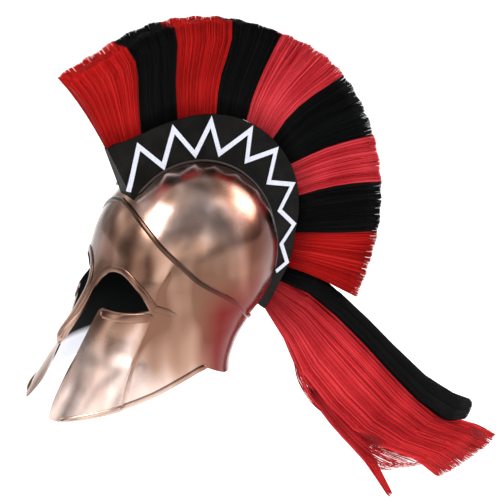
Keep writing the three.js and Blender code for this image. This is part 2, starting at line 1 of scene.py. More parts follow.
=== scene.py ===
import math

import bpy
import numpy as np
from mathutils import Matrix, Vector, kdtree, noise


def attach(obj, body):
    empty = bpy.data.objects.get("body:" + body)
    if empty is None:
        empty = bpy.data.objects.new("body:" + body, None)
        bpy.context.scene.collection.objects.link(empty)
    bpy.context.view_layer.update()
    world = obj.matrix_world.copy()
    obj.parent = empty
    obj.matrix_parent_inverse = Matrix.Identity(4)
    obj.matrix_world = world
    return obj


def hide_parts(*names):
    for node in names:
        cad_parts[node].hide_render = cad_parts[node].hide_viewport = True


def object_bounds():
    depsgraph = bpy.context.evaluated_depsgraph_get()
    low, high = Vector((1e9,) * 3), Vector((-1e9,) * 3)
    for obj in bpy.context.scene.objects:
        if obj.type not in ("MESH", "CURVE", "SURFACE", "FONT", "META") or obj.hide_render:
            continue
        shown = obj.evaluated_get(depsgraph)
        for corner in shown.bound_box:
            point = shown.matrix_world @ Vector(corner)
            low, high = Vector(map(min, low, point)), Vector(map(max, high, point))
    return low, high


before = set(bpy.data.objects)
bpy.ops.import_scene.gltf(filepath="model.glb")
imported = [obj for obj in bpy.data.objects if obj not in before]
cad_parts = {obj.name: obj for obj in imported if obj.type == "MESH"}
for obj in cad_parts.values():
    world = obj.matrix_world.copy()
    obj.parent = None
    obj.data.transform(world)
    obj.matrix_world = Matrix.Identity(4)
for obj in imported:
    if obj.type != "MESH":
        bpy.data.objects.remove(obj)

cad_low, cad_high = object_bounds()

# --- camera ------------------------------------------------------------------------------------
# The camera stands 1.7 m from the middle of the skull, on the wearer's left and a little above,
# and is aimed past the face so that the whole crest and the tail come into the picture.

SEAT = 0.1181  # the seat inside the crown stands this far above the middle of the skull
swing, rise = math.radians(60), math.radians(20)
right = Vector((math.cos(swing), math.sin(swing), 0))
back = Vector((
    math.sin(swing) * math.cos(rise), -math.cos(swing) * math.cos(rise), math.sin(rise)))
up = back.cross(right)
bpy.ops.object.camera_add()
camera = bpy.context.object
camera.location = back * 1.7 + right * 0.06527 + up * 0.00874 - Vector((0, 0, SEAT))
camera.rotation_euler = Matrix((right, up, back)).transposed().to_euler()
camera.data.sensor_width = 36
camera.data.lens = 105.02
camera.data.clip_end = 60
bpy.context.scene.camera = camera

# --- helmet shell --------------------------------------------------------------------------------
# The shell is raised from one sheet of steel 1.6 mm thick and finished in polished copper outside,
# with painted light and shade on the copper; the inside is bare steel, painted pale low in the
# cheeks as if lit through the open bottom and near-black higher up as painted shade. The hammer
# leaves soft dents all over it, and the face stands a little proud of the sides along a crease.

# Level rows of the skull in mm from its middle: height, front, back, half width, place of the
# widest point, roundness of front and back, and how far the keel stands out.
SKULL_ROWS = np.array([
    [120, -8, -8, 0.05, -8, 2, 2, 0],
    [117.5, -31, 13, 22, -9, 2, 2, 0],
    [110, -52, 35, 42, -10, 2, 2, 0],
    [97, -72, 56, 61, -10, 2, 2, 0],
    [77, -94, 76, 78, -10, 2, 2, 0],
    [50, -110, 92, 91, -10, 2.2, 2, 0],
    [20, -118.5, 99, 97, -10, 2.4, 2, 1],
    [-10, -129.5, 97, 97, -12, 2.4, 2, 3],
    [-35, -142, 87, 94, -18, 2.25, 2, 7],
    [-60, -155, 66, 89, -28, 2.1, 2, 15.5],
    [-85, -167, 45, 86, -38, 2.25, 2.1, 12],
    [-110, -180, 33, 85, -46, 2.9, 2.2, 4],
    [-135, -197, 30, 86, -52, 3.2, 2.3, 0],
    [-160, -216, 32, 89, -56, 3.2, 2.3, 0],
])
KEEL_HALF_WIDTH = 24
WALL = 1.6


def eased(table, t):
    """The rows of a table read at t between 0 and 1 along it, eased through each row."""
    last = len(table) - 1
    place = np.clip(t, 0, 1) * last
    i = np.minimum(place.astype(int), last - 1)
    f = (place - i)[..., None]
    ends = np.vstack([2 * table[0] - table[1], table, 2 * table[-1] - table[-2]])
    a, b, c, d = (ends[i + k] for k in range(4))
    square = (2 * a - 5 * b + 4 * c - d) * f * f
    cube = (3 * b - a - 3 * c + d) * f ** 3
    return 0.5 * (2 * b + (c - a) * f + square + cube)


def skull(place, turn):
    """Points of the outer surface: place 0 at the crown to 1 below the rim, turn from the face."""
    z, front, rear, half, wide, round_front, round_rear, keel = np.moveaxis(
        eased(SKULL_ROWS, place), -1, 0)
    c, s = np.cos(turn), np.sin(turn)
    reach = np.maximum(np.where(c >= 0, wide - front, rear - wide), 0.05)
    power = np.where(c >= 0, round_front, round_rear)
    side = np.maximum(half, 0.05)
    radius = ((abs(c) / reach) ** power + (abs(s) / side) ** power) ** (-1 / power)
    x = radius * s
    fade = np.maximum(1 - (x / KEEL_HALF_WIDTH) ** 2, 0)
    y = wide - radius * c - np.where(c > 0, keel * fade ** 2, 0)
    return np.stack([x, y, z], -1)


def skull_normal(place, turn):
    e = 0.003
    down = skull(place + e, turn) - skull(np.maximum(place - e, 0), turn)
    around = skull(place, turn + e) - skull(place, turn - e)
    normal = np.cross(down, around)
    normal /= np.linalg.norm(normal, axis=-1, keepdims=True) + 1e-12
    normal[place < 0.003] = (0, 0, 1)
    return normal


def halved(test, low, high):
    """Where test turns from true to false between low and high, value by value."""
    for _ in range(36):
        middle = (low + high) / 2
        yes = test(middle)
        low, high = np.where(yes, middle, low), np.where(yes, high, middle)
    return low


row_places = np.linspace(0, 1, 6000)
row_heights = eased(SKULL_ROWS, row_places)[:, 0]


def place_at(z):
    return np.interp(-np.asarray(z, float), -row_heights, row_places)


def behind(x, z):
    """Place and turn of the surface straight behind points of the front view."""
    place = place_at(z)
    turn = halved(lambda t: skull(place, t)[..., 0] < x, np.full_like(z, -1.5), np.full_like(z, 1.5))
    return place, turn


def rounded(points, corners, step):
    """A polyline eased through its points, kept sharp at the corners, in even steps."""
    points = np.array(points, float)
    stops = sorted({0, len(points) - 1, *corners})
    line = []
    for a, b in zip(stops, stops[1:]):
        run = points[a:b + 1]
        length = np.linalg.norm(np.diff(run, axis=0), axis=1).sum()
        count = max(int(length / step), 2)
        dense = eased(run, np.linspace(0, 1, 40 * count)) if len(run) > 2 else np.linspace(
            run[0], run[1], 40 * count)
        along = np.concatenate([[0], np.linalg.norm(np.diff(dense, axis=0), axis=1).cumsum()])
        even = np.linspace(0, along[-1], count + 1)
        part = np.stack([np.interp(even, along, dense[:, k]) for k in range(dense.shape[1])], -1)
        line.extend(part if a == stops[0] else part[1:])
    return np.array(line)


def wrapped(name, across, along, form, merge=2e-6):
    """A grid whose vertices go to form(u, v) in mm, u round the piece and v along it."""
    bpy.ops.object.select_all(action="DESELECT")
    bpy.ops.mesh.primitive_grid_add(x_subdivisions=across, y_subdivisions=along, size=1)
    piece = bpy.context.object
    piece.name = piece.data.name = name
    flat = np.empty(len(piece.data.vertices) * 3)
    piece.data.vertices.foreach_get("co", flat)
    u, v = flat[0::3] + 0.5, flat[1::3] + 0.5
    points = form(np.round(u * across) / across, np.round(v * along) / along) / 1000
    points[:, 2] -= SEAT
    piece.data.vertices.foreach_set("co", points.ravel())
    bpy.ops.object.mode_set(mode="EDIT")
    bpy.ops.mesh.select_all(action="SELECT")
    bpy.ops.mesh.remove_doubles(threshold=merge)
    bpy.ops.mesh.normals_make_consistent(inside=False)
    bpy.ops.object.mode_set(mode="OBJECT")
    bpy.ops.object.shade_smooth()
    return piece


# Left half of the opening from the front (x, z): tip and side of the nose guard, brow, outer
# corner of the eye, lower edge of the eye, edge of the cheek.
OPENING = [
    (0, -73), (4.6, -71), (7.4, -64), (8.6, -48), (8.6, -26), (8.8, -12.5), (12, -2), (19.5, 7),
    (30.2, 12.7), (41.6, 13.8), (50.3, 11.2), (58, 6.3), (65, 0.3), (70.6, -5.6), (75.4, -13.6),
    (78.5, -21.3), (74, -23.7), (63.5, -25.7), (50.7, -26.7), (40, -26), (33, -26.3),
    (28.6, -29.8), (25.3, -48), (22, -76), (20, -104), (20, -118), (22.5, -129), (27.5, -140), (36, -152),
]
EYE_CORNER, CHEEK_CORNER = 15, 21
# The lower edge from the side (y, z), cheek tip to nape, with the notch below the ear.
RIM = [
    (-235, -149), (-203, -146), (-179, -140), (-140, -132.5), (-101, -124.5), (-78, -118),
    (-54, -110), (-38, -104.5), (-28, -103.5), (-14, -112), (5, -122), (30, -127), (120, -128),
]
NOTCH = 8
# The edge of the face, where it stands proud of the side: from the ridge past the corner of the
# eye and down the cheek, as surface points.
FACE_EDGE = rounded([
    (84.5, -64.7, 37), (83.4, -71.4, 29.5), (82.5, -79, 16), (80.3, -86.5, 3), (79.8, -90, -10.5),
    (79, -93, -24.5), (76.6, -97.5, -39), (70.5, -114, -75), (74, -126.5, -99),
    (78, -134.5, -120.5), (82, -141, -140)], (), 2)

AROUND, DOWN, INNER = 360, 196, 60


def from_line(points, line, reach):
    """Distance of points from a line in space, up to a reach."""
    tree = kdtree.KDTree(len(line))
    for i, p in enumerate(line):
        tree.insert(p, i)
    tree.balance()
    away = np.full(len(points), float(reach))
    low, high = line.min(0) - reach, line.max(0) + reach
    for i in np.where(((points > low) & (points < high)).all(1))[0]:
        away[i] = min(tree.find(points[i])[2], reach)
    return away


def beaten(points):
    """How far the hammer leaves the surface above or below its plain form, in mm."""
    marks = np.array([noise.noise(Vector(p) / 17) for p in points])
    broad = np.array([noise.noise(Vector((p[0] / 34, p[1] / 34, p[2] / 80))) for p in points])
    folded = points * (-1, 1, 1)
    away = np.minimum(from_line(points, FACE_EDGE, 50), from_line(folded, FACE_EDGE, 50))
    order = np.argsort(FACE_EDGE[:, 2])
    edge_y = np.interp(points[:, 2], FACE_EDGE[order, 2], FACE_EDGE[order, 1])
    soft = np.interp(points[:, 1] - edge_y, (-4, 4), (20, 4.5))
    proud = np.interp(points[:, 2], (10, 34), (2.1, 0))
    return 0.16 * marks + 0.6 * broad + proud * np.exp(-(away / soft) ** 2)


def shell_form(u, v):
    rows = DOWN + INNER
    outer = np.round(v * rows) <= DOWN
    place = np.where(outer, v * rows / DOWN, (1 - v) * rows / INNER)
    place = np.clip(place, 0, 1)
    turn = np.zeros_like(u)
    dense = np.linspace(0, math.pi, 500)
    for p in np.unique(np.round(place, 9)):
        ring = skull(np.full_like(dense, p), dense)
        along = np.concatenate([[0], np.linalg.norm(np.diff(ring, axis=0), axis=1).cumsum()])
        mine = abs(place - p) < 1e-8
        share = abs(2 * u[mine] - 1)
        turn[mine] = np.sign(u[mine] - 0.5) * np.interp(share * along[-1], along, dense)
    points, normal = skull(place, turn), skull_normal(place, turn)
    pole = place < 1e-6
    lift = np.where(outer, 0.0, -WALL)
    face = outer & ~pole
    lift[face] += beaten(points[face])
    points = points + normal * lift[:, None]
    points[pole & outer] = points[pole & outer].mean(0)
    points[pole & ~outer] = points[pole & ~outer].mean(0)
    return points


shell = wrapped("helmet_shell_raised", AROUND, DOWN + INNER, shell_form)


def prism(name, outline, axis, start, depth):
    """A cutter on an outline of the front view (axis 1) or of the side view (axis 0)."""
    others = [k for k in range(3) if k != axis]
    points = np.zeros((len(outline), 3))
    points[:, others] = outline
    points[:, axis] = start
    points = points / 1000 - np.array((0, 0, SEAT))
    mesh = bpy.data.meshes.new(name)
    mesh.from_pydata(points.tolist(), [], [list(range(len(outline)))])
    cutter = bpy.data.objects.new(name, mesh)
    bpy.context.scene.collection.objects.link(cutter)
    bpy.ops.object.select_all(action="DESELECT")
    cutter.select_set(True)
    bpy.context.view_layer.objects.active = cutter
    bpy.ops.object.mode_set(mode="EDIT")
    bpy.ops.mesh.select_all(action="SELECT")
    way = [0, 0, 0]
    way[axis] = depth / 1000
    bpy.ops.mesh.extrude_region_move(TRANSFORM_OT_translate={"value": way})
    bpy.ops.mesh.select_all(action="SELECT")
    bpy.ops.mesh.normals_make_consistent(inside=False)
    bpy.ops.object.mode_set(mode="OBJECT")
    return cutter


half = rounded(OPENING, (EYE_CORNER, CHEEK_CORNER), 1.2)
face_cutter = prism("face_cutter", [*half, (37, -200), (-37, -200), *(half[:0:-1] * (-1, 1))],
                    1, -270, 210)
rim = rounded(RIM, (NOTCH,), 1.5)
rim_cutter = prism("rim_cutter", [*rim, (120, -220), (-235, -220)], 0, -130, 260)
bpy.ops.object.select_all(action="DESELECT")
bpy.context.view_layer.objects.active = shell
for cutter in (face_cutter, rim_cutter):
    cut = shell.modifiers.new("cut", "BOOLEAN")
    cut.object = cutter
    cut.operation = "DIFFERENCE"
    cut.solver = "EXACT"
    bpy.ops.object.modifier_apply(modifier=cut.name)
    bpy.data.objects.remove(cutter)
shell.select_set(True)
bpy.ops.object.shade_smooth_by_angle(angle=math.radians(38))

# The raised bands that follow the ridge, the brows, the lower lids and the rim. Each is beaten up
# from the sheet, with a rounded top and a dark line where it meets the surface.


def band(name, place, turn, low, high, height, closed=False, flat=0.5):
    """A band along surface points, from low to high mm beside its line and height mm high."""
    line, normal = skull(place, turn), skull_normal(place, turn)
    line = line + normal * beaten(line)[:, None]
    if closed:
        ahead = np.roll(line, -1, 0) - np.roll(line, 1, 0)
    else:
        ahead = np.gradient(line, axis=0)
    side = np.cross(ahead, normal)
    side /= np.linalg.norm(side, axis=1, keepdims=True)
    count = 14
    last = len(line) - (0 if closed else 1)

    def form(u, v):
        i = np.round(v * last).astype(int) % len(line)
        angle = u * 2 * math.pi
        c, s = np.cos(angle), np.sin(angle)
        wide = np.sign(c) * abs(c) ** flat
        high_at = np.where(s > 0, height, 1.0) * np.sign(s) * abs(s) ** 0.8
        taper = np.ones_like(v)
        if not closed:
            taper = np.clip(np.minimum(v, 1 - v) * last / 4, 0.02, 1) ** 0.5
        offset = (low + high) / 2 + wide * (high - low) / 2 * taper
        return line[i] + side[i] * offset[:, None] + normal[i] * (high_at * taper - 0.25)[:, None]

    return wrapped(name, count, last, form)


RIDGE = np.array([
    (0, 83), (15, 79), (28, 70), (40, 57), (59, 28), (72, 6), (93, -18), (122, -50), (150, -68),
    (180, -75)], float)
turns = np.radians(np.arange(-180, 180, 0.8))
ridge_z = rounded(RIDGE, (), 1.0)
ridge_height = np.interp(abs(np.degrees(turns)), ridge_z[:, 0], ridge_z[:, 1])
ridge = band("ridge_bead", place_at(ridge_height), turns, -3.1, 3.1, 2.2, closed=True)

bands = [ridge]
for hand, side in (("left", 1), ("right", -1)):
    brow = rounded(OPENING[1:16] + [(84.4, -27), (88.3, -32.7)], (14,), 1.2)
    place, turn = behind(side * brow[:, 0], brow[:, 1])
    edge = (0.2, 8.0) if side > 0 else (-8.0, -0.2)
    bands.append(band("brow_border_" + hand, place, turn, -edge[1], -edge[0], 1.6))
    lid = rounded(OPENING[15:22], (), 1.2)
    place, turn = behind(side * lid[:, 0], lid[:, 1])
    edge = (-11.5, -0.2) if side > 0 else (0.2, 11.5)
    bands.append(band("lower_lid_" + hand, place, turn, *edge, 1.7))
    front = rim[(rim[:, 0] > -200) & (rim[:, 0] <= RIM[NOTCH][0])]
    place = place_at(front[:, 1].copy())
    turn = halved(lambda t: skull(place, t)[..., 1] < front[:, 0],
                  np.full(len(front), 0.05), np.full(len(front), 3.0))
    edge = (-6.4, 0.4) if side > 0 else (-0.4, 6.4)
    bands.append(band("rim_roll_" + hand, place, side * turn, *edge, 2.4))


def nodes_of(name):
    material = bpy.data.materials.new(name)
    material.use_nodes = True
    tree = material.node_tree
    return material, tree, tree.nodes["Principled BSDF"]


def noise_node(tree, scale, detail, vector=None, stretch=None):
    where = tree.nodes.new("ShaderNodeTexCoord").outputs["Object"]
    if stretch:
        mapping = tree.nodes.new("ShaderNodeMapping")
        mapping.inputs["Scale"].default_value = stretch
        tree.links.new(where, mapping.inputs["Vector"])
        where = mapping.outputs["Vector"]
    texture = tree.nodes.new("ShaderNodeTexNoise")
    texture.inputs["Scale"].default_value = scale
    texture.inputs["Detail"].default_value = detail
    tree.links.new(where, texture.inputs["Vector"])
    return texture


def ramp_node(tree, source, stops):
    ramp = tree.nodes.new("ShaderNodeValToRGB")
    while len(ramp.color_ramp.elements) < len(stops):
        ramp.color_ramp.elements.new(0.5)
    for element, (place, colour) in zip(ramp.color_ramp.elements, stops):
        element.position = place
        element.color = (*colour, 1)
    tree.links.new(source, ramp.inputs["Fac"])
    return ramp


def bump_node(tree, source, strength, distance, before=None):
    bump = tree.nodes.new("ShaderNodeBump")
    bump.inputs["Strength"].default_value = strength
    bump.inputs["Distance"].default_value = distance
    tree.links.new(source, bump.inputs["Height"])
    if before:
        tree.links.new(before, bump.inputs["Normal"])
    return bump.outputs["Normal"]


def map_node(tree, source, low, high, to_low, to_high):
    ranged = tree.nodes.new("ShaderNodeMapRange")
    for socket, value in (("From Min", low), ("From Max", high), ("To Min", to_low), ("To Max", to_high)):
        ranged.inputs[socket].default_value = value
    tree.links.new(source, ranged.inputs["Value"])
    return ranged.outputs["Result"]


def math_node(tree, kind, first, second):
    node = tree.nodes.new("ShaderNodeMath")
    node.operation = kind
    for socket, source in zip(node.inputs, (first, second, first)):
        tree.links.new(source, socket)
    return node.outputs[0]


def mixed_node(tree, factor, first, second, kind="MIX"):
    mix = tree.nodes.new("ShaderNodeMix")
    mix.data_type = "RGBA"
    mix.blend_type = kind
    tree.links.new(factor, mix.inputs["Factor"])
    tree.links.new(first, mix.inputs["A"])
    mix.inputs["B"].default_value = (*second, 1)
    return mix.outputs["Result"]


def copper(name, dark, middle, light):
    """Polished copper with painted light: brighter at the face, the crown and the lower edge; darker and
    redder behind and at the nape as painted shade and a painted reflection of the red tail; darker on the far
    side as painted shade; painted shade and highlight along the face's edge.
    """
    material, tree, shader = nodes_of(name)
    where = tree.nodes.new("ShaderNodeSeparateXYZ")
    tree.links.new(tree.nodes.new("ShaderNodeTexCoord").outputs["Object"], where.inputs["Vector"])
    cloud = noise_node(tree, 17, 2, stretch=(1, 1, 0.3))
    # Painted highlights: brighter towards the face, towards the lower edge and on the crown, with the crown's
    # highlight fading towards the front. Random mottle from the cloud noise is added to them.
    ahead = map_node(tree, where.outputs["Y"], -0.17, 0.03, 0.17, -0.16)
    low = map_node(tree, where.outputs["Z"], -0.15, -0.24, 0.0, 0.24)
    crown_highlight = map_node(tree, where.outputs["Z"], -0.12, -0.06, 0.0, 0.26)
    crown_highlight_front_fade = map_node(tree, where.outputs["Y"], -0.08, -0.105, 0.0, -0.9)
    crown_highlight = math_node(tree, "MULTIPLY_ADD", crown_highlight, crown_highlight_front_fade)
    mottle_and_painted_light = math_node(tree, "ADD", cloud.outputs["Fac"], ahead)
    mottle_and_painted_light = math_node(tree, "ADD", mottle_and_painted_light, math_node(tree, "ADD", low, crown_highlight))
    # Painted shade just behind the face's edge and a painted highlight in front of it, read from the shell's
    # vertex attribute.
    crease_light_and_shade = tree.nodes.new("ShaderNodeAttribute")
    crease_light_and_shade.attribute_name = "crease_light_and_shade"
    folded = map_node(tree, crease_light_and_shade.outputs["Fac"], -1.0, 1.0, 0.13, -0.30)
    mottle_and_painted_light = math_node(tree, "ADD", mottle_and_painted_light, folded)
    tone = ramp_node(tree, mottle_and_painted_light, [(0.38, dark), (0.54, middle), (0.78, light)]).outputs["Color"]
    # Painted shade and a painted reflection of the red tail: darker and redder towards the back, and deep
    # red-black at the nape.
    rear = map_node(tree, where.outputs["Y"], -0.015, 0.075, 0.0, 1.0)
    tone = mixed_node(tree, rear, tone, (0.62, 0.15, 0.10), "MULTIPLY")
    under = map_node(tree, where.outputs["Z"], -0.11, -0.155, 0.0, 1.0)
    behind_ear = map_node(tree, where.outputs["Y"], -0.05, -0.015, 0.0, 1.0)
    nape_red_reflection = math_node(tree, "MULTIPLY", under, behind_ear)
    tone = mixed_node(tree, nape_red_reflection, tone, (0.13, 0.003, 0.002))
    # Painted shade: the wearer's right side is made darker and browner.
    far_side_shade = map_node(tree, where.outputs["X"], 0.0, -0.03, 0.0, 1.0)
    tone = mixed_node(tree, far_side_shade, tone, (0.42, 0.34, 0.27), "MULTIPLY")
    tree.links.new(tone, shader.inputs["Base Color"])
    shader.inputs["Metallic"].default_value = 1
    smear = noise_node(tree, 34, 3)
    tree.links.new(map_node(tree, smear.outputs["Fac"], 0.2, 0.8, 0.14, 0.32), shader.inputs["Roughness"])
    shader.inputs["Coat Weight"].default_value = 0.25
    shader.inputs["Coat Roughness"].default_value = 0.12
    shader.inputs["Coat IOR"].default_value = 1.5
    dents = noise_node(tree, 70, 2, stretch=(1, 1, 0.5))
    first = bump_node(tree, dents.outputs["Fac"], 0.15, 0.0007)
    grain = noise_node(tree, 900, 2, stretch=(1, 1, 0.25))
    tree.links.new(bump_node(tree, grain.outputs["Fac"], 0.12, 0.0002, first), shader.inputs["Normal"])
    return material


outside = copper("polished_copper", (0.16, 0.075, 0.045), (0.35, 0.205, 0.145), (0.74, 0.57, 0.51))
raised = copper("copper_bands", (0.15, 0.07, 0.045), (0.30, 0.165, 0.115), (0.58, 0.42, 0.35))
# The ridge bead is given much darker copper tones than the rest of the shell.
dark_ridge_copper = copper("copper_ridge", (0.04, 0.018, 0.01), (0.07, 0.034, 0.02), (0.13, 0.07, 0.045))

inside, tree, shader = nodes_of("bare_inside")
position = tree.nodes.new("ShaderNodeSeparateXYZ")
tree.links.new(tree.nodes.new("ShaderNodeTexCoord").outputs["Object"], position.inputs["Vector"])
# Painted light and shade inside: the lowest part of the cheeks is painted pale as if lit through the open
# bottom, and everything higher up is painted near-black as shade.
fade = tree.nodes.new("ShaderNodeMapRange")
fade.inputs["From Min"].default_value = -0.222
fade.inputs["From Max"].default_value = -0.212
tree.links.new(position.outputs["Z"], fade.inputs["Value"])
tone = ramp_node(tree, fade.outputs["Result"], [(0.0, (0.82, 0.83, 0.88)), (1.0, (0.0015, 0.002, 0.002))])
tree.links.new(tone.outputs["Color"], shader.inputs["Base Color"])
shader.inputs["Roughness"].default_value = 0.7
shader.inputs["Specular IOR Level"].default_value = 0.06
scuff = noise_node(tree, 220, 3)
tree.links.new(bump_node(tree, scuff.outputs["Fac"], 0.2, 0.0003), shader.inputs["Normal"])

# Painted shade and highlight for the copper along the face's edge: a dark line just behind the edge and a
# softer painted highlight in front of it, fading out higher up.
spots = np.empty(len(shell.data.vertices) * 3)
shell.data.vertices.foreach_get("co", spots)
spots = (spots.reshape(-1, 3) + (0, 0, SEAT)) * 1000
away = np.minimum(from_line(spots, FACE_EDGE, 40), from_line(spots * (-1, 1, 1), FACE_EDGE, 40))
edge_order = np.argsort(FACE_EDGE[:, 2])
ahead = spots[:, 1] - np.interp(spots[:, 2], FACE_EDGE[edge_order, 2], FACE_EDGE[edge_order, 1])
shadow = np.exp(-((away - 3) / 4) ** 2) * np.clip(ahead / 3 + 0.5, 0, 1)
shadow -= 0.6 * np.exp(-((away - 9) / 7) ** 2) * (ahead < 0)
crease_light_and_shade = shell.data.attributes.new("crease_light_and_shade", "FLOAT", "POINT")
crease_light_and_shade.data.foreach_set("value", (shadow * np.interp(spots[:, 2], (14, 36), (1, 0))).astype(np.float32))
shell.data.materials.clear()
shell.data.materials.append(outside)
shell.data.materials.append(inside)
centres = np.empty(len(shell.data.polygons) * 3)
shell.data.polygons.foreach_get("center", centres)
ways = np.empty(len(shell.data.polygons) * 3)
shell.data.polygons.foreach_get("normal", ways)
centres, ways = centres.reshape(-1, 3), ways.reshape(-1, 3)
axis = np.stack([0 * centres[:, 0], np.interp(centres[:, 2], [-0.26, -0.1], [-0.07, -0.012]),
                 np.minimum(centres[:, 2], -0.12)], -1)
inward = ((centres - axis) * ways).sum(1) < 0
shell.data.polygons.foreach_set("material_index", inward.astype(np.int32))
for piece in bands:
    piece.data.materials.clear()
    piece.data.materials.append(dark_ridge_copper if piece == ridge else raised)

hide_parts("helmet_shell")
for piece in (shell, *bands):
    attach(piece, "root")

# --- crest holder --------------------------------------------------------------------------------
# A wooden board, wedge-shaped in section, that follows the crown from the brow to the nape. It is
# painted satin black and its foot is trimmed with a dark cord where it meets the metal.

# Angle over the crown from the front in degrees, then radii from the middle of the skull: foot of
# the board, its top edge, ends of the hair.
CREST = np.array([
    [42, 112, 172, 274], [54, 108, 181, 275], [60, 106, 175, 273], [67, 106, 170.5, 272],
    [82, 106, 169, 277], [99, 106, 170, 277], [113, 104, 168.5, 276], [128, 100, 165, 277],
    [143, 96, 159.5, 271], [154, 94, 153.5, 265], [166, 92, 145, 258], [178, 92, 136, 251],
    [194, 96, 131, 241], [204, 102, 126.5, 236], [222, 112, 125, 228],
])
crest_fine = rounded(CREST, (), 1.0)
BOARD_TOP_HALF, BOARD_FOOT_HALF, BOARD_TAIL_HALF = 4.5, 18, 9


def crest_at(over, column):
    return np.interp(over, crest_fine[:, 0], crest_fine[:, column])


def over_crown(over, radius, x):
    angle = np.radians(over)
    return np.stack([x + 0 * angle, -radius * np.cos(angle), radius * np.sin(angle)], -1)


def skull_radius(over, x):
    """How far the skull's surface is from its middle, over the crown and x beside its mid line."""
    def within(radius):
        p = over_crown(over, radius, x)
        row = eased(SKULL_ROWS, place_at(np.minimum(p[:, 2], 119.9)))
        z, front, rear, half, wide, round_front, round_rear, keel = np.moveaxis(row, -1, 0)
        ahead = wide - p[:, 1]
        reach = np.where(ahead >= 0, wide - front, rear - wide)
        power = np.where(ahead >= 0, round_front, round_rear)
        return (p[:, 2] < 119.9) & ((abs(ahead) / reach) ** power + (abs(x) / half) ** power < 1)
    return halved(within, np.full(len(over), 60.0), np.full(len(over), 150.0))


def board_half(over, radius):
    """Half the board's thickness at a distance from the middle of the skull."""
    foot_half = np.interp(over, [160, 210], [BOARD_FOOT_HALF, BOARD_TAIL_HALF])
    foot, top = crest_at(over, 1), crest_at(over, 2)
    return foot_half + (BOARD_TOP_HALF - foot_half) * (radius - foot) / (top - foot)


def board_sole(over):
    beside = board_half(over, skull_radius(over, 0 * over))
    return skull_radius(over, beside) + 0.4


def board_form(u, v):
    over = 42 + 180 * v
    top, sole = crest_at(over, 2), board_sole(over)
    corners = [0, 0.3, 0.32, 0.34, 0.38, 0.4, 0.42, 0.72, 1]
    high = np.interp(u, corners, [0, 0.985, 0.996, 1, 1, 0.996, 0.985, 0, 0])
    side = np.interp(u, corners, [1, 1, 0.95, 0.8, -0.8, -0.95, -1, -1, 1])
    radius = sole + (top - sole) * high
    x = side * board_half(over, radius)
    under = high < 1e-6
    radius[under] = skull_radius(over[under], x[under]) + 0.4
    return over_crown(over, radius, x)


board = wrapped("crest_board", 100, 180, board_form)
bpy.ops.object.mode_set(mode="EDIT")
bpy.ops.mesh.select_all(action="SELECT")
front_low, front_high = (-80, 78), (-108, 147)
slope = Vector((0, front_high[0] - front_low[0], front_high[1] - front_low[1])).normalized()
bpy.ops.mesh.bisect(
    plane_co=(0, front_low[0] / 1000, front_low[1] / 1000 - SEAT),
    plane_no=(0, -slope.z, slope.y), clear_outer=True)
bpy.ops.mesh.select_all(action="SELECT")
bpy.ops.mesh.fill_holes(sides=0)
bpy.ops.mesh.normals_make_consistent(inside=False)
bpy.ops.object.mode_set(mode="OBJECT")
bpy.ops.object.shade_smooth_by_angle(angle=math.radians(40))

trims = []
for hand, side in (("left", 1), ("right", -1)):
    def cord_form(u, v, side=side):
        over = 50 + 168 * v
        x = side * (board_half(over, board_sole(over)) + 0.6)
        angle = u * 2 * math.pi
        twist = 1.5 + 0.18 * np.sin(angle * 2 + v * 900)
        taper = np.clip(np.minimum(v, 1 - v) * 60, 0.03, 1)
        middle = skull_radius(over, x) + 1.5
        return over_crown(over, middle + twist * taper * np.sin(angle),
                          x + twist * taper * np.cos(angle))
    trims.append(wrapped("foot_cord_" + hand, 10, 420, cord_form))

bpy.ops.object.select_all(action="DESELECT")
bpy.ops.mesh.primitive_uv_sphere_add(segments=20, ring_count=10, radius=0.0011)
nail = bpy.context.object
nail.name = nail.data.name = "board_nail"
nail.data.transform(Matrix.Scale(0.5, 4, (1, 0, 0)))
over, radius = 86.0, 139.0
lateral = board_half(over, radius)
nail_at = over_crown(np.array([over]), radius, lateral)[0] / 1000
nail.data.transform(Matrix.Translation(Vector(nail_at) - Vector((0, 0, SEAT))))
bpy.ops.object.shade_smooth()

satin, tree, shader = nodes_of("black_board")
cloud = noise_node(tree, 40, 4)
tone = ramp_node(tree, cloud.outputs["Fac"], [(0.35, (0.0022, 0.002, 0.0018)), (0.7, (0.009, 0.0085, 0.0075))])
tree.links.new(tone.outputs["Color"], shader.inputs["Base Color"])
rub = noise_node(tree, 120, 5, stretch=(1, 1, 0.4))
rough = tree.nodes.new("ShaderNodeMapRange")
rough.inputs["To Min"].default_value = 0.42
rough.inputs["To Max"].default_value = 0.68
tree.links.new(rub.outputs["Fac"], rough.inputs["Value"])
tree.links.new(rough.outputs["Result"], shader.inputs["Roughness"])
shader.inputs["Specular IOR Level"].default_value = 0.07
tree.links.new(bump_node(tree, rub.outputs["Fac"], 0.25, 0.0004), shader.inputs["Normal"])

waxed, tree, shader = nodes_of("waxed_cord")
shader.inputs["Roughness"].default_value = 0.6
weave = noise_node(tree, 1400, 2)
tone = ramp_node(tree, weave.outputs["Fac"], [(0.35, (0.006, 0.004, 0.004)), (0.7, (0.045, 0.026, 0.022))])
tree.links.new(tone.outputs["Color"], shader.inputs["Base Color"])
tree.links.new(bump_node(tree, weave.outputs["Fac"], 0.4, 0.0003), shader.inputs["Normal"])

pewter, tree, shader = nodes_of("nail_head")
shader.inputs["Metallic"].default_value = 1
shader.inputs["Roughness"].default_value = 0.4
dull = noise_node(tree, 900, 2)
tone = ramp_node(tree, dull.outputs["Fac"], [(0.3, (0.3, 0.3, 0.3)), (0.7, (0.6, 0.6, 0.62))])
tree.links.new(tone.outputs["Color"], shader.inputs["Base Color"])

for piece, finish in ((board, satin), (trims[0], waxed), (trims[1], waxed), (nail, pewter)):
    piece.data.materials.clear()
    piece.data.materials.append(finish)
    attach(piece, "root")
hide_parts("crest_holder")

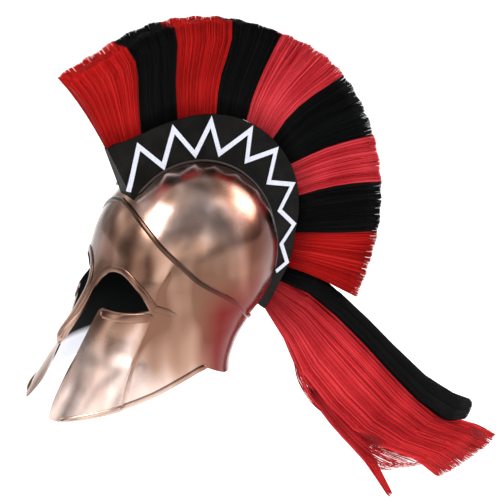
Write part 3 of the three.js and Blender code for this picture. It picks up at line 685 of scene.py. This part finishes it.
# --- zigzag band and bolts -----------------------------------------------------------------------
# A pale matt band cut from one strip of cloth-backed paint film is stuck along each side of the
# board in a zigzag. Two plain steel bolts inside the crown hold the board to the shell.

paint, tree, shader = nodes_of("pale_zigzag")
fibre = noise_node(tree, 700, 4)
tone = ramp_node(tree, fibre.outputs["Fac"], [(0.3, (0.55, 0.57, 0.66)), (0.65, (0.72, 0.74, 0.82))])
tree.links.new(tone.outputs["Color"], shader.inputs["Base Color"])
shader.inputs["Roughness"].default_value = 0.65
tree.links.new(bump_node(tree, fibre.outputs["Fac"], 0.25, 0.0002), shader.inputs["Normal"])

steel, tree, shader = nodes_of("plain_steel")
turned_marks = noise_node(tree, 500, 3)
tone = ramp_node(tree, turned_marks.outputs["Fac"], [(0.3, (0.30, 0.31, 0.32)), (0.7, (0.5, 0.51, 0.53))])
tree.links.new(tone.outputs["Color"], shader.inputs["Base Color"])
shader.inputs["Metallic"].default_value = 1
shader.inputs["Roughness"].default_value = 0.38

for name, finish in (("zigzag_left", paint), ("zigzag_right", paint),
                     ("crest_bolt_front", steel), ("crest_bolt_rear", steel)):
    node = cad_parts[name]
    node.data.materials.clear()
    node.data.materials.append(finish)

# --- upright hair ----------------------------------------------------------------------------------
# Nine locks of dyed hair, red and black in turn, are sewn along the top of the board and clipped to
# an even round. The strands spread to both sides from the root, and their ends are a little
# uneven.


def combed(name, count, spans, seed, route, width, clumps=60, short=0.05):
    """Strands along route(t, across, through): t from root to end, across 0 to 1, through -1 to 1."""
    chance = np.random.default_rng(seed)
    a = (np.arange(count) + chance.random(count)) / count * 1.02 - 0.01
    clump = np.clip((a * clumps + 0.5 * chance.standard_normal(count)).astype(int), 0, clumps - 1)
    edge = np.sign(chance.random(count) - 0.5) * (1 - 0.22 * chance.random(count) ** 1.6)
    b = np.where(chance.random(count) < 0.72, edge, 2 * chance.random(count) - 1)
    length = 1 - short * chance.random(count) ** 2 - 0.15 * short * chance.random(clumps)[clump]
    t = np.linspace(0, 1, spans + 1) ** 0.9
    sway = (chance.random(count) - 0.5)[:, None] * np.sin(t * math.pi)[None] * 0.02
    drift = (chance.random(clumps)[clump] - 0.5)[:, None] * t[None] ** 2 * 0.02
    ta = np.clip(a[:, None] + sway + drift, -0.015, 1.015)
    tb = np.clip(b[:, None] * (1 + 0.05 * (chance.random(count) - 0.5))[:, None] * np.ones_like(ta), -1, 1)
    line = route(t[None] * length[:, None], ta, tb)
    way = np.gradient(line, axis=1)
    way /= np.linalg.norm(way, axis=2, keepdims=True) + 1e-9
    roll = chance.random(count) * 2 * math.pi
    first = np.cross(way, (1, 0.01, 0.02))
    first /= np.linalg.norm(first, axis=2, keepdims=True) + 1e-9
    second = np.cross(way, first)
    slim = width * (0.75 + 0.5 * chance.random(count))[:, None] * np.interp(
        t, [0, 0.1, 0.85, 1], [0.8, 1, 0.95, 0.5])[None]
    rings = []
    for k in range(3):
        turn = (roll + k * 2 * math.pi / 3)[:, None]
        rings.append(line + (slim * np.cos(turn))[..., None] * first
                     + (slim * np.sin(turn))[..., None] * second)
    points = np.stack(rings, 2)
    base = (np.arange(count) * (spans + 1) * 3)[:, None]
    faces = []
    for i in range(spans):
        for k in range(3):
            p, q = i * 3 + k, i * 3 + (k + 1) % 3
            faces.append(np.concatenate([base + p, base + q, base + q + 3], 1))
            faces.append(np.concatenate([base + p, base + q + 3, base + p + 3], 1))
    faces.append(np.concatenate([base + 2, base + 1, base], 1))
    tip = spans * 3
    faces.append(np.concatenate([base + tip, base + tip + 1, base + tip + 2], 1))
    faces = np.concatenate(faces, 0)
    points = points.reshape(-1, 3) / 1000 - (0, 0, SEAT)
    mesh = bpy.data.meshes.new(name)
    mesh.from_pydata(points.tolist(), [], faces.tolist())
    mesh.polygons.foreach_set("use_smooth", np.ones(len(faces), bool))
    # Random tone per strand and clump; in the hair materials its light end is partly a painted highlight.
    tone = mesh.attributes.new("tone", "FLOAT", "POINT")
    shade = np.clip(0.55 * chance.random(count) + 0.45 * chance.random(clumps)[clump], 0, 1)
    tone.data.foreach_set("value", np.repeat(shade, (spans + 1) * 3).astype(np.float32))
    reach = mesh.attributes.new("reach", "FLOAT", "POINT")
    reach.data.foreach_set("value", np.repeat(
        np.tile(t, (count, 1)).ravel(), 3).astype(np.float32))
    piece = bpy.data.objects.new(name, mesh)
    bpy.context.scene.collection.objects.link(piece)
    return piece


def hair(name, dark, middle, light, gloss, specular, end=(1, 1, 1)):
    """Dyed hair: fine streaks by strand and broad ones by place, partly dye and partly painted highlight in
    their light tones, darker at the root, end hue.
    """
    material, tree, shader = nodes_of(name)
    tone = tree.nodes.new("ShaderNodeAttribute")
    tone.attribute_name = "tone"
    reach = tree.nodes.new("ShaderNodeAttribute")
    reach.attribute_name = "reach"
    # Streaks by place and by strand: partly dye, and partly painted highlight where they reach the light
    # tones.
    broad = noise_node(tree, 14, 1)
    streak = map_node(tree, broad.outputs["Fac"], 0.3, 0.7, -0.16, 0.16)
    fibre = noise_node(tree, 240, 2)
    fine = map_node(tree, fibre.outputs["Fac"], 0.3, 0.7, 0.15, 0.45)
    shade = math_node(tree, "MAXIMUM", tone.outputs["Fac"], fine)
    shade = math_node(tree, "ADD", shade, streak)
    colour = ramp_node(tree, shade, [(0.12, dark), (0.5, middle), (0.95, light)])
    depth = ramp_node(tree, reach.outputs["Fac"], [(0.0, (0.62, 0.62, 0.62)), (0.3, (1, 1, 1)),
                                                  (1.0, end)])
    mix = tree.nodes.new("ShaderNodeMix")
    mix.data_type = "RGBA"
    mix.blend_type = "MULTIPLY"
    mix.inputs["Factor"].default_value = 1
    tree.links.new(colour.outputs["Color"], mix.inputs["A"])
    tree.links.new(depth.outputs["Color"], mix.inputs["B"])
    tree.links.new(mix.outputs["Result"], shader.inputs["Base Color"])
    shader.inputs["Roughness"].default_value = gloss
    shader.inputs["Specular IOR Level"].default_value = specular
    return material


# Dark, middle and light colours of each hair; the light ones are partly painted highlight.
red_deep = hair("hair_red_deep", (0.18, 0.002, 0.002), (0.38, 0.005, 0.004), (0.66, 0.02, 0.018),
                0.55, 0.05)
red_rose = hair("hair_red_rose", (0.24, 0.004, 0.007), (0.52, 0.018, 0.027), (0.84, 0.08, 0.10),
                0.55, 0.07)
red_tail = hair("hair_red_tail", (0.20, 0.003, 0.005), (0.50, 0.015, 0.022), (0.86, 0.065, 0.075),
                0.55, 0.06, end=(0.95, 0.55, 0.5))
black = hair("hair_black", (0.0005, 0.0005, 0.0006), (0.0012, 0.0013, 0.0014),
             (0.004, 0.005, 0.005), 0.45, 0.05)

# Angles over the crown of the lines between locks: at the root, at a quarter, half and three
# quarters of the length, and at the ends.
PARTINGS = [
    [54.0, 55.4, 56.2, 56.4, 56.0],
    [67.2, 69.0, 71.0, 72.8, 71.4],
    [83.0, 83.0, 83.3, 84.6, 84.0],
    [99.6, 98.2, 98.3, 99.8, 98.8],
    [113.8, 112.2, 112.0, 112.3, 112.9],
    [129.1, 128.6, 130.0, 132.7, 134.6],
    [143.9, 146.2, 148.6, 151.4, 153.8],
    [159.5, 161.4, 163.4, 165.5, 167.6],
    [177.6, 179.4, 180.8, 181.4, 182.0],
    [195.6, 197.2, 199.0, 200.8, 202.2],
]
ROOT_HALF, END_HALF = 4.2, 17.5
LOCK_HUES = ["red", "black", "red", "black", "red", "black", "red", "black", "red"]

strands = []
for k, hue in enumerate(LOCK_HUES):
    name = f"plume_lock_{k + 1}_{hue}"
    low_side, high_side = PARTINGS[k], PARTINGS[k + 1]

    def fan(t, a, b, low_side=low_side, high_side=high_side):
        stops = [0, 0.25, 0.5, 0.75, 1]
        low, high = np.interp(t, stops, low_side), np.interp(t, stops, high_side)
        over = low + (high - low) * a
        root = low_side[0] + (high_side[0] - low_side[0]) * a
        end = low_side[4] + (high_side[4] - low_side[4]) * a
        start, stop = crest_at(root, 2) + 0.3, crest_at(end, 3) + 0.9 * np.sin(end * 1.1) + 0.5
        x = b * (ROOT_HALF + (END_HALF - ROOT_HALF) * np.clip(t, 0, 1) ** 0.85)
        return over_crown(over, start + (stop - start) * t, x)

    def core_form(u, v, fan=fan):
        angle = u * 2 * math.pi
        a = 0.5 + 0.5 * np.sign(np.cos(angle)) * abs(np.cos(angle)) ** 0.35
        b = np.sign(np.sin(angle)) * abs(np.sin(angle)) ** 0.5
        end = np.where((v < 1e-6) | (v > 1 - 1e-6), 0.0, 1.0)
        return fan(v * 0.99, 0.5 + (a - 0.5) * end, b * 0.92 * end)

    core = wrapped(name + "_core", 96, 14, core_form)
    lock = combed(name + "_strands", 1800, 5, 30 + k, fan, 0.4, short=0.025)
    finish = black if hue == "black" else (red_deep if k in (0, 2, 8) else red_rose)
    strands.append((name, hue, core, lock, finish))

# --- falling hair ------------------------------------------------------------------------------------
# The last black lock and a longer red one are sewn to the nape end of the board and fall behind as
# a tail. The black one is trimmed square; the red one is loose below, where thin strands
# leave it.

# Side view of each lock from root to ends: y and z of its upper and lower edges, half thickness.
TAIL_BLACK = np.array([
    [126, -37, 115, -52.5, 4], [153, -49, 145, -68, 8], [183, -66, 176, -94, 11],
    [221, -104, 214, -133, 13], [258, -142, 254, -178, 14], [296, -184, 294, -226, 15],
    [351, -240, 337, -272, 16], [400, -276, 378, -306, 14], [424, -288, 410, -313, 10],
])
TAIL_RED = np.array([
    [114, -54, 96, -84, 4], [144, -69.8, 116, -110, 8], [174.8, -95.8, 132, -150, 12],
    [212.5, -134.8, 150, -188, 15], [252.5, -179.8, 178, -228, 18], [292.5, -227.8, 210, -266, 20],
    [335.5, -273.8, 248, -302, 21], [376.8, -307.9, 298, -332, 20], [431, -331, 344, -362, 17],
    [467, -357, 372, -392, 11],
])
WISP = np.array([
    [184, -226, 9, 8], [196, -240, 9, 7], [232, -293, 9, 6], [266, -349, 6, 5], [295, -400, 3.5, 3],
])


def tail_route(rows, over=0.0):
    def route(t, a, b):
        row = eased(rows, t)
        a = a * (1 + over) - over
        y = row[..., 0] + (row[..., 2] - row[..., 0]) * a
        z = row[..., 1] + (row[..., 3] - row[..., 1]) * a
        x = b * row[..., 4] * np.clip(1 - abs(2 * a - 1) ** 4, 0.05, 1) ** 0.5
        return np.stack([x, y, z], -1)
    return route


def wisp_route(t, a, b):
    row = eased(WISP, t)
    ahead = eased(WISP, np.clip(t + 0.02, 0, 1)) - eased(WISP, np.clip(t - 0.02, 0, 1))
    across = np.stack([ahead[..., 1], -ahead[..., 0]], -1)
    across /= np.linalg.norm(across, axis=-1, keepdims=True)
    offset = (a - 0.5) * 2 * row[..., 2]
    x = b * row[..., 3] * np.clip(1 - abs(2 * a - 1) ** 4, 0.02, 1) ** 0.5
    return np.stack([x, row[..., 0] + across[..., 0] * offset, row[..., 1] + across[..., 1] * offset], -1)


def tail_core(route, reach):
    def form(u, v):
        angle = u * 2 * math.pi
        a = 0.5 + 0.5 * np.cos(angle)
        b = 0.9 * np.sign(np.sin(angle))
        b = np.where(abs(np.sin(angle)) < 1e-6, 0, b)
        end = np.where((v < 1e-6) | (v > 1 - 1e-6), 0.0, 1.0)
        return route(v * reach, 0.5 + (a - 0.5) * end, b * end)
    return form


for name, hue, rows, count, short in (("plume_tail_black", "black", TAIL_BLACK, 1100, 0.03),
                                      ("plume_tail_red", "red", TAIL_RED, 2300, 0.05)):
    route = tail_route(rows, 0.07 if hue == "red" else 0.0)
    core = wrapped(name + "_core", 72, 60, tail_core(route, 0.96))
    lock = combed(name + "_strands", count, 7, 60 + count, route, 0.47, clumps=90, short=short)
    strands.append((name, hue, core, lock, black if hue == "black" else red_tail))
core = wrapped("plume_wisp_red_core", 16, 30, tail_core(wisp_route, 0.8))
lock = combed("plume_wisp_red_strands", 260, 8, 99, wisp_route, 0.4, clumps=20, short=0.12)
strands.append(("plume_wisp_red", "red", core, lock, red_tail))

# Thin strands that hang loose below the red tail, each row from root to ends as above.
LOOSE = [
    ("web", 150, 0.30, [[170, -205, 160, -215, 8], [212, -262, 196, -268, 9], [262, -312, 236, -318, 9],
                        [318, -345, 262, -348, 8], [352, -366, 296, -362, 5]]),
    ("curl", 40, 0.35, [[142, -156, 138, -160, 3], [152, -193, 147, -197, 5], [171, -225, 166, -230, 5],
                        [193, -248, 189, -253, 4], [216, -264, 213, -268, 3]]),
    ("twig", 9, 0.35, [[352, -362, 350, -366, 3], [320, -358, 316, -362, 3], [294, -350, 290, -354, 2],
                       [279, -338, 276, -342, 2]]),
]
loose = []
for name, count, width, rows in LOOSE:
    loose.append(combed("plume_tail_red_" + name, count, 9, 200 + count,
                        tail_route(np.array(rows, float)), width, clumps=12, short=0.3))

for piece in loose:
    piece.data.materials.append(red_tail)
    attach(piece, "root")

for name, hue, core, lock, finish in strands:
    for piece in (core, lock):
        piece.data.materials.clear()
        piece.data.materials.append(finish)
        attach(piece, "root")
    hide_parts(name)

# --- floor and light -----------------------------------------------------------------------------
# A plain pale floor just under the end of the tail, a broad lamp above the left shoulder, a
# weaker one behind, and a soft even sky.

bpy.ops.object.select_all(action="DESELECT")
bpy.ops.mesh.primitive_plane_add(size=40, location=(0, 0, cad_low[2] - 0.012))
floor = bpy.context.object
floor.name = "floor"
chalk, tree, shader = nodes_of("pale_floor")
shader.inputs["Base Color"].default_value = (0.92, 0.92, 0.92, 1)
shader.inputs["Roughness"].default_value = 0.9
shader.inputs["Emission Color"].default_value = (1, 1, 1, 1)
shader.inputs["Emission Strength"].default_value = 0.6
floor.data.materials.append(chalk)


def lamp(name, place, aim, size, power):
    bpy.ops.object.light_add(type="AREA", location=place)
    light = bpy.context.object
    light.name = name
    light.rotation_euler = (Vector(place) - Vector(aim)).to_track_quat("Z", "Y").to_euler()
    light.data.size = size
    light.data.energy = power


middle = Vector((0, 0, -SEAT))
lamp("key_lamp", middle + back * 1.0 - right * 0.9 + Vector((0, 0, 1.3)), middle, 0.9, 26)
lamp("rim_lamp", middle - back * 0.6 + right * 1.4 + Vector((0, 0, 1.0)), middle, 0.7, 14)

world = bpy.data.worlds.new("studio")
bpy.context.scene.world = world
world.use_nodes = True
sky = world.node_tree
sky_back = sky.nodes["Background"]
direction = sky.nodes.new("ShaderNodeTexCoord").outputs["Generated"]
patches = sky.nodes.new("ShaderNodeTexNoise")
patches.inputs["Scale"].default_value = 1.9
patches.inputs["Detail"].default_value = 1.5
sky.links.new(direction, patches.inputs["Vector"])
tone = ramp_node(sky, patches.outputs["Fac"], [(0.38, (0.22, 0.21, 0.22)), (0.52, (0.75, 0.75, 0.76)),
                                                (0.66, (2.3, 2.3, 2.3))])
sky.links.new(tone.outputs["Color"], sky_back.inputs["Color"])
sky_back.inputs["Strength"].default_value = 0.9
bpy.context.scene.view_settings.view_transform = "Standard"
